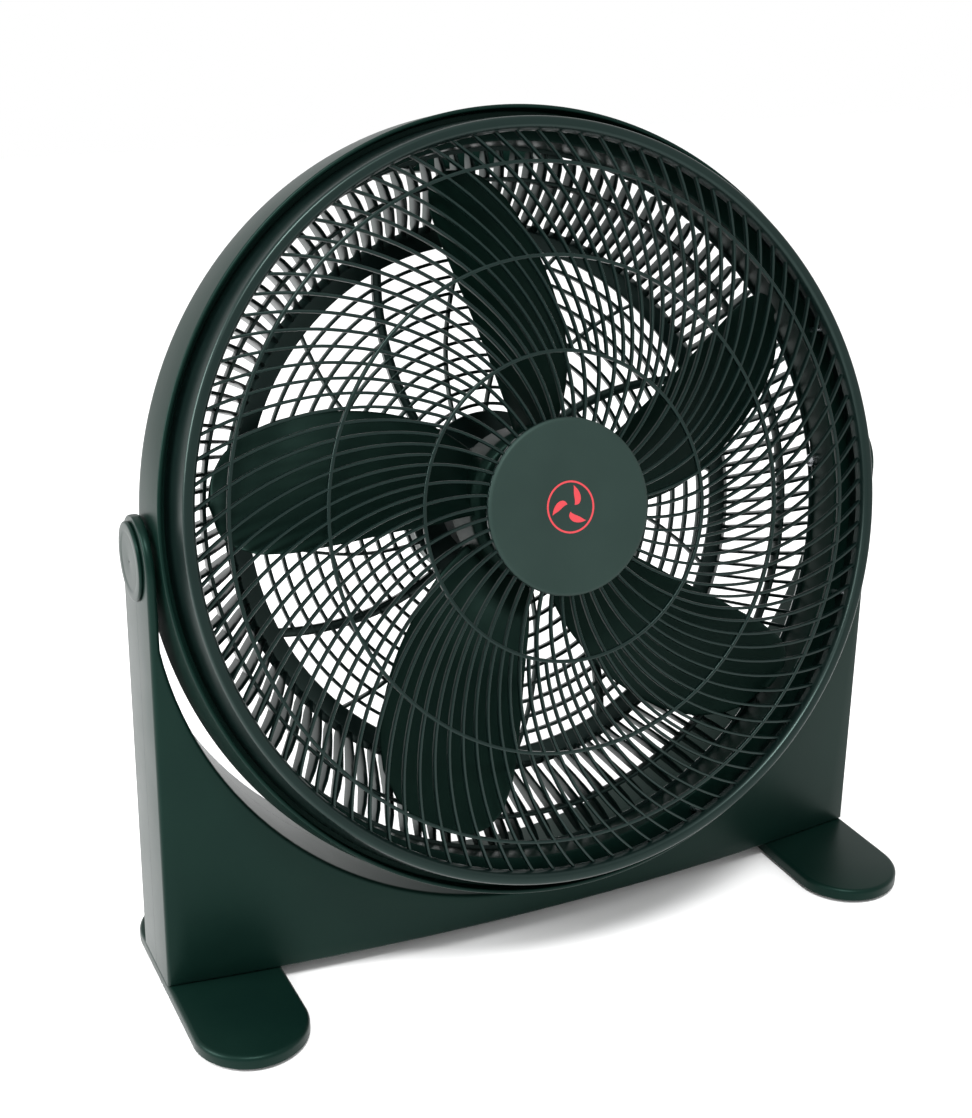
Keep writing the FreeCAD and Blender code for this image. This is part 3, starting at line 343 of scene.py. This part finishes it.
def ribs(count, inner, outer, turn, front, back, width, stations):
    """Grids of like ribs: each follows turn(radius) from the inner radius to the outer one, with a
    round-nosed section width mm across that reaches from front(radius) to back(radius). The first
    and last rows shrink to a point, which closes the ends."""
    radius = np.linspace(inner, outer, stations)
    radius = np.concatenate([radius[:1], radius, radius[-1:]])
    size = np.concatenate([[0], np.ones(stations), [0]])[:, None]
    nose = np.array([(-0.5, 1.0), (-0.5, 0.25), (-0.33, 0.06), (0.0, 0.0), (0.33, 0.06), (0.5, 0.25), (0.5, 1.0)])
    nose = closed(nose)
    near, far = front(radius)[:, None], back(radius)[:, None]
    across, depth = size * nose[:, 0] * width, (near + far) / 2 + size * (nose[:, 1] - 0.5) * (far - near)
    slope = np.gradient(turn(radius[1:-1]), radius[1:-1]) * radius[1:-1]
    slope = np.concatenate([slope[:1], slope, slope[-1:]])[:, None]
    steep = np.sqrt(1 + slope ** 2)
    angle = turn(radius)[:, None]
    radial = radius[:, None] - across * slope / steep
    aside = across / steep
    step = (2 * np.pi / count * np.arange(count))[:, None, None] + angle[None]
    x = radial * np.cos(step) - aside * np.sin(step)
    z = radial * np.sin(step) + aside * np.cos(step)
    return [grid for grid in np.stack([x, np.broadcast_to(depth, x.shape), z], -1)]


def hoop(radius, front, width, deep):
    """A ring of the guard: a round-nosed section carried round the axis."""
    half = width / 2
    return spun(rounded([(radius - half, front), (radius + half, front),
                         (radius + half, front + deep), (radius - half, front + deep)], 0.8, 4), 240)


front_guard = [spun(rounded(RIM, 1.4, 5), 240)]
front_guard += [hoop(radius, dome(radius), 2.6, 3.6) for radius in (111, 178.5, 245)]
front_guard += [spun(rounded([(0, CROWN), (64, CROWN), (64, CROWN + 3.5), (0, CROWN + 3.5)], 0.9), 120)]
for count, inner, outer, stations in ((50, 62, 111, 9), (100, 111, 178.5, 9), (100, 178.5, 245, 9), (100, 245, 268, 5)):
    front_guard += ribs(count, inner, outer, front_turn, dome, dome_back, 2.2, stations)
piece("front_guard_moulding", [on_head(grid) for grid in front_guard], "head",
      guard_plastic, ["front_grille"])


# ---------------------------------------------------------------- badge
# A satin grey disc pressed into the middle of the guard, with a plain painted ring of three blades
# as its mark.

# Moulded ABS with a light metal-flake grey paint: paler and flatter than the guard.
badge_grey = moulded("painted_grey_abs", "16221f", "1f2c28", 0.5, grain=1.0, depth=0.03, sheen="b4d3cc", shine=0.3)
# Pad-printed red ink on the grey disc, matt.
badge_red = moulded("pad_printed_red", "a8252b", "b8313a", 0.55, grain=1.2, depth=0.01)
BADGE = CROWN - 2.1
disc = rounded([(0, CROWN - 0.05), (63.8, CROWN - 0.05), (63.8, BADGE + 1.2), (62.2, BADGE + 0.1), (60, BADGE), (0, BADGE - 0.3)], 1.0)
piece("guard_badge", [on_head(spun(disc, 160))], "head", badge_grey, ["grille_badge"])


def petal(turn_deg, start, reach, width):
    """A flat leaf of the mark, 0.12 mm proud: its middle line bends round as it leaves the centre,
    and its width swells and closes as the sine of the way along."""
    t, s = np.meshgrid(np.linspace(0, 1, 18), np.linspace(-1, 1, 7), indexing="ij")
    radius = start + (reach - start) * t
    turn = np.radians(turn_deg + 55 * t) + s * width * np.sin(np.pi * np.clip(t, 0.02, 0.98)) / radius
    top = np.stack([radius * np.cos(turn), BADGE - 0.42 + 0 * t, radius * np.sin(turn)], -1)
    base = top + [0, 0.35, 0]
    return np.concatenate([top, base[:, ::-1], top[:, :1]], 1)


mark = [petal(angle, 3.5, 15.5, 3.4) for angle in (20, 140, 260)]
mark.append(spun(rounded([(17.5, BADGE - 0.38), (18.9, BADGE - 0.38), (18.9, BADGE - 0.1), (17.5, BADGE - 0.1)], 0.1), 96))
piece("badge_mark", [on_head(grid) for grid in mark], "head", badge_red)


# ---------------------------------------------------------------- impeller
# Five broad scooped blades round a cup hub, one polypropylene moulding. Each blade is a rounded
# petal: its leading edge stands forward, its trailing edge lies back near the motor.

blade_plastic = moulded("moulded_impeller_polypropylene", "030d0b", "06140f", 0.38, grain=1.4, depth=0.02, ior=1.49,
                        sheen="8fc0b2", shine=0.22)
EDGE_R = np.array([56, 90, 120, 160, 200, 225, 240, 247, 250])
TRAIL = np.array([-12, -8, -3, 4, 11, 16, 20.5, 24, 28.5])
LEAD = np.array([36, 37, 37, 37.5, 37.6, 36.8, 35, 33, 29])
TRAIL_Y = np.array([-6, -11, -14, -9, -5, -8, -14, -19, -24])
LEAD_Y = np.array([-34, -44, -48, -53, -55, -52, -46, -39, -31])


def blade(phase):
    """One blade: between its two edges, given by radius as an angle and a depth, the surface runs
    in a shallow arch 6% of its chord high, and it thins from 3.6 mm at the root to 2.2 at the tip."""
    radius = np.concatenate([np.linspace(56, 225, 24), 225 + 25 * np.sin(np.linspace(0, np.pi / 2, 12))[1:]])
    share = 0.5 - 0.5 * np.cos(np.linspace(0, np.pi, 25))
    trail, lead = np.interp(radius, EDGE_R, TRAIL)[:, None], np.interp(radius, EDGE_R, LEAD)[:, None]
    trail_y, lead_y = np.interp(radius, EDGE_R, TRAIL_Y)[:, None], np.interp(radius, EDGE_R, LEAD_Y)[:, None]
    angle = np.radians(phase + trail + (lead - trail) * share)
    chord = np.hypot(np.radians(lead - trail) * radius[:, None], lead_y - trail_y)
    arch = 0.24 * chord * share * (1 - share)
    depth = trail_y + (lead_y - trail_y) * share + arch
    thick = (3.6 - 1.4 * (radius[:, None] - 56) / 194) * np.sqrt(np.clip(1 - (2 * share - 1) ** 8, 0, 1)) / 2
    thick[-1] = 0
    sheets = [np.stack([radius[:, None] * np.cos(angle), depth + side * thick, radius[:, None] * np.sin(angle)], -1)
              for side in (-1, 1)]
    return np.concatenate([sheets[0], sheets[1][:, ::-1], sheets[0][:, :1]], 1)


hub = spun(rounded([(4.02, -36), (53, -36), (58, -31), (58, 4), (55, 4), (55, -30), (52, -33), (13, -33),
                    (12, -10), (4.02, -10)], 2.0), 120)
impeller = [hub] + [blade(phase) for phase in range(0, 360, 72)]
piece("impeller_moulding", [on_head(grid) for grid in impeller], "rotor",
      blade_plastic, ["impeller"], crease=50)


# ---------------------------------------------------------------- rear guard
# A bowl in black polypropylene behind the impeller: a flat grid of ten rings and sixteen curved
# spokes, four of them broad to carry the motor, a thick band, and a ribbed wall out to the flange.

PLATE = 54.0


def bowl(radius):
    """Inner face of the rear bowl at a radius, behind the pivot."""
    return np.interp(radius, [0, 211, 225, 239.5, 252, 262, 291], [PLATE, PLATE, 32, 14, 6, 4.4, 4.4])


def bowl_back(radius):
    """Outer face of the rear bowl: 5 mm behind the grid, and up to 20 mm behind the wall."""
    return np.interp(radius, [0, 211, 218, 232.5, 246, 258, 266], [PLATE + 5, PLATE + 5, PLATE + 4, 41, 26, 17, 10])


def rear_turn(radius):
    """Where a rear spoke stands at a radius, in radians: it leans the other way from a front rib."""
    return np.radians(112 - 0.16 * (radius - 200))


def wall_turn(radius):
    """The ribs of the bowl wall lean a little as they go out."""
    return np.radians(0.046 * (radius - 212))


rear_guard = [spun(rounded([(9, PLATE), (70, PLATE), (70, PLATE + 4), (9, PLATE + 4)], 1), 96)]
rear_guard += [hoop(75.5 + 12.5 * ring, PLATE, 2.6, 5) for ring in range(10)]
rear_guard.append(spun(rounded([(198, PLATE), (211, PLATE), (217, PLATE + 4), (198, PLATE + 4)], 1.2), 240))
rear_guard.append(hoop(242, bowl(242), 2.8, 9))
flange = spun(rounded([(261, 4.4), (290, 4.4), (290, 6), (287, 8.4), (263, 8.4)], 1), 240)
rear_guard += ribs(16, 68, 200, rear_turn, bowl, bowl_back, 2.6, 14)
rear_guard += ribs(4, 68, 200, rear_turn, bowl, bowl_back, 7, 14)
rear_guard += ribs(132, 210.5, 242, wall_turn, bowl, bowl_back, 2.8, 7)
rear_guard += ribs(132, 242, 262.5, wall_turn, bowl, bowl_back, 2.8, 5)
notch = (np.abs(flange[..., 2]) < 16.2) & (np.abs(flange[..., 0]) > 264)
flange[..., 0] = np.where(notch, np.sign(flange[..., 0]) * 264, flange[..., 0])
rear_guard.append(flange)
for angle in np.radians(22.5 + 45 * np.arange(8)):
    stud = spun(rounded([(2.2, 8), (5, 8), (5, 17), (2.2, 17)], 0.5), 32)
    rear_guard.append(stud + [274 * np.cos(angle), 0, 274 * np.sin(angle)])
for side in (-1, 1):
    leg = spun(rounded([(2.2, 8), (11, 8), (11, 26), (2.2, 26)], 0.8), 48)
    rear_guard.append(leg + [side * 60, 0, 263])
piece("rear_guard_moulding", [on_head(grid) for grid in rear_guard], "head",
      guard_plastic, ["rear_grille"])


# ---------------------------------------------------------------- carry handle
# A bow of black ABS behind the top of the rear guard, screwed to two posts from inside. The grip
# is rounded all round to suit a hand.

LEG_IN, LEG_OUT, GRIP_IN, GRIP_OUT, FOOT_Y = 50.0, 70.0, 54.4, 68.4, 26.1
turn = np.linspace(0, np.pi / 2, 10)
outer_half = np.concatenate([[[LEG_OUT, FOOT_Y], [LEG_OUT, 40]],
                             np.stack([LEG_OUT - 12 + 12 * np.cos(turn), GRIP_OUT - 12 + 12 * np.sin(turn)], 1),
                             [[30, GRIP_OUT], [0, GRIP_OUT]]])
inner_half = np.concatenate([[[LEG_IN, FOOT_Y], [LEG_IN, 40]],
                             np.stack([LEG_IN - 6 + 6 * np.cos(turn), GRIP_IN - 6 + 6 * np.sin(turn)], 1),
                             [[28, GRIP_IN], [0, GRIP_IN]]])
outline = [np.concatenate([half, half[-2::-1] * [-1, 1]]) for half in (outer_half, inner_half)]
middle, reach = (outline[0] + outline[1]) / 2, (outline[0] - outline[1]) / 2
round_t = np.linspace(0, 2 * np.pi, 33)
swell = np.sign(np.cos(round_t)) * np.abs(np.cos(round_t)) ** 0.45
lift = np.sign(np.sin(round_t)) * np.abs(np.sin(round_t)) ** 0.45
bow_grid = np.stack([middle[:, :1] + reach[:, :1] * swell, middle[:, 1:] + reach[:, 1:] * swell,
                     263.0 + 8.0 * lift + 0 * middle[:, :1]], -1)
ends = [np.broadcast_to(bow_grid[k].mean(0), bow_grid[k:k + 1 or None].shape) for k in (0, -1)]
bow_grid = np.concatenate([ends[0], bow_grid, ends[1]])
piece("carry_handle_bow", [on_head(bow_grid)], "head", black_abs, ["carry_handle"])


# ---------------------------------------------------------------- motor, cover and fixings
# What is left of the machine keeps the shape it was drawn with: the pressed and cast motor parts,
# the moulded back cover and knob, and the screws. Each takes the finish of its real material.

# Bright zinc plate on steel screws: blue-white, faintly mottled by the plating bath.
zinc = moulded("zinc_plated_steel", "b4b8bd", "c9ccd0", 0.28, grain=0.8, depth=0.01, ior=1.5, metallic=1.0, patch=3)
# Natural nylon washers, waxy and a little yellow.
nylon = moulded("turned_natural_nylon", "d8d4c6", "e2dfd2", 0.45, grain=0.8, depth=0.01, patch=8)
# Pressure die-cast aluminium end brackets: dull, with the skin of the die.
casting = moulded("die_cast_aluminium", "9c9fa1", "b2b5b6", 0.5, grain=0.9, depth=0.05, ior=1.5, metallic=1.0, patch=12)
# Punched silicon-steel laminations, dark and oily on the edge.
lamination = moulded("punched_silicon_steel", "5a5b5f", "6e6f74", 0.42, grain=0.5, depth=0.06, ior=1.5, metallic=1.0, patch=6)
# Enamelled copper winding wire.
copper = moulded("enamelled_copper_wire", "8f4a22", "a85c2e", 0.25, grain=0.5, depth=0.1, ior=1.5, metallic=1.0, patch=4)
# Ground steel shaft.
ground = moulded("ground_steel", "a9abad", "bcbec0", 0.18, grain=0.4, depth=0.005, ior=1.5, metallic=1.0, patch=5)
# Oil-filled sintered bronze bearings.
bronze = moulded("sintered_bronze", "7d6038", "8f7044", 0.55, grain=0.4, depth=0.05, ior=1.5, metallic=1.0, patch=3)
# Glossy white thermoset capacitor case.
capacitor_white = moulded("moulded_white_capacitor", "cfcfc6", "dadad2", 0.3, grain=1.5, depth=0.01, patch=10)
# Knob and switch: black phenolic with a polished face.
phenolic = moulded("polished_black_phenolic", "0b0d0d", "121515", 0.24, grain=1.6, depth=0.01, ior=1.6)
# Soft black PVC cable gland.
gland = moulded("moulded_black_pvc", "101111", "191b1b", 0.6, grain=0.9, depth=0.03, ior=1.54)
FINISH = {
    zinc: ("stand_shell_screws", "foot_screws", "pivot_bolt_left", "pivot_bolt_right", "pivot_nuts", "grille_screws",
           "handle_screws", "motor_bolts", "cover_screws", "impeller_nut"),
    nylon: ("friction_washer_left", "friction_washer_right"),
    casting: ("motor_front_bracket", "motor_rear_bracket"),
    lamination: ("stator_core", "rotor_core"),
    copper: ("stator_windings",),
    ground: ("motor_shaft",),
    bronze: ("shaft_bearings",),
    capacitor_white: ("capacitor",),
    phenolic: ("speed_knob", "speed_switch"),
    gland: ("cord_inlet_gland",),
    black_abs: ("motor_rear_cover",),
    foot_rubber: ("foot_pads",),
}
for finish, names in FINISH.items():
    for name in names:
        node = frame["nodes"][name].data
        node.materials.clear()
        node.materials.append(finish)


# ---------------------------------------------------------------- studio
# Plain white paper sweep, one broad soft light from the upper left and a weak fill from the front.

FOCAL, SENSOR = 55.37, 36.0
EYE = Vector((-0.55128, -1.08629, 0.77546))
YAW, PITCH, ROLL = 0.44706, 0.37928, 0.01488


def camera_at(eye, yaw, pitch, roll):
    """Camera looking along yaw (from +Y towards +X) and pitched down, then rolled about its view."""
    view = Vector((np.sin(yaw) * np.cos(pitch), np.cos(yaw) * np.cos(pitch), -np.sin(pitch)))
    right = Vector((np.cos(yaw), -np.sin(yaw), 0.0))
    up = right.cross(view)
    right, up = (np.cos(roll) * right + np.sin(roll) * up, np.cos(roll) * up - np.sin(roll) * right)
    turn = Matrix((right, up, -view)).transposed().to_4x4()
    return Matrix.Translation(eye) @ turn


lens = bpy.data.cameras.new("studio_camera")
lens.lens, lens.sensor_width, lens.clip_start = FOCAL, SENSOR, 0.01
camera = bpy.data.objects.new("studio_camera", lens)
camera.matrix_world = camera_at(EYE, YAW, PITCH, ROLL)
bpy.context.scene.collection.objects.link(camera)
bpy.context.scene.camera = camera


def softbox(name, place, aim, size, power):
    """A square area light that faces its aim point."""
    lamp = bpy.data.lights.new(name, "AREA")
    lamp.size, lamp.energy = size, power
    made = bpy.data.objects.new(name, lamp)
    direction = Vector(aim) - Vector(place)
    made.matrix_world = Matrix.Translation(place) @ direction.to_track_quat("-Z", "Y").to_matrix().to_4x4()
    bpy.context.scene.collection.objects.link(made)
    return made


softbox("key_left", (-2.6, 0.1, 1.6), (0, 0, 0.35), 1.4, 105)
softbox("top_front", (-0.5, -1.3, 2.4), (0, 0, 0.4), 0.6, 60)

sky = bpy.data.worlds.new("white_studio")
bpy.context.scene.world = sky
sky.use_nodes = True
sky.node_tree.nodes["Background"].inputs["Color"].default_value = (1, 1, 1, 1)
sky.node_tree.nodes["Background"].inputs["Strength"].default_value = 1.0
bpy.context.scene.view_settings.view_transform = "Standard"

# Matt white paper, thick enough to hide its table: it takes the object's soft shadow.
paper = moulded("white_paper", "fbfbfb", "ffffff", 0.9, grain=0.8, depth=0.01, ior=1.4)
sweep = np.array([[[x, y, -0.5] for x in (-4000, 4000)] for y in (-4000, 4000)], float)
floor_mesh = bpy.data.meshes.new("floor")
floor_mesh.from_pydata((sweep.reshape(-1, 3) * MM).tolist(), [], [[0, 1, 3, 2]])
floor_mesh.materials.append(paper)
floor = bpy.data.objects.new("floor", floor_mesh)
bpy.context.scene.collection.objects.link(floor)

bpy.context.view_layer.update()
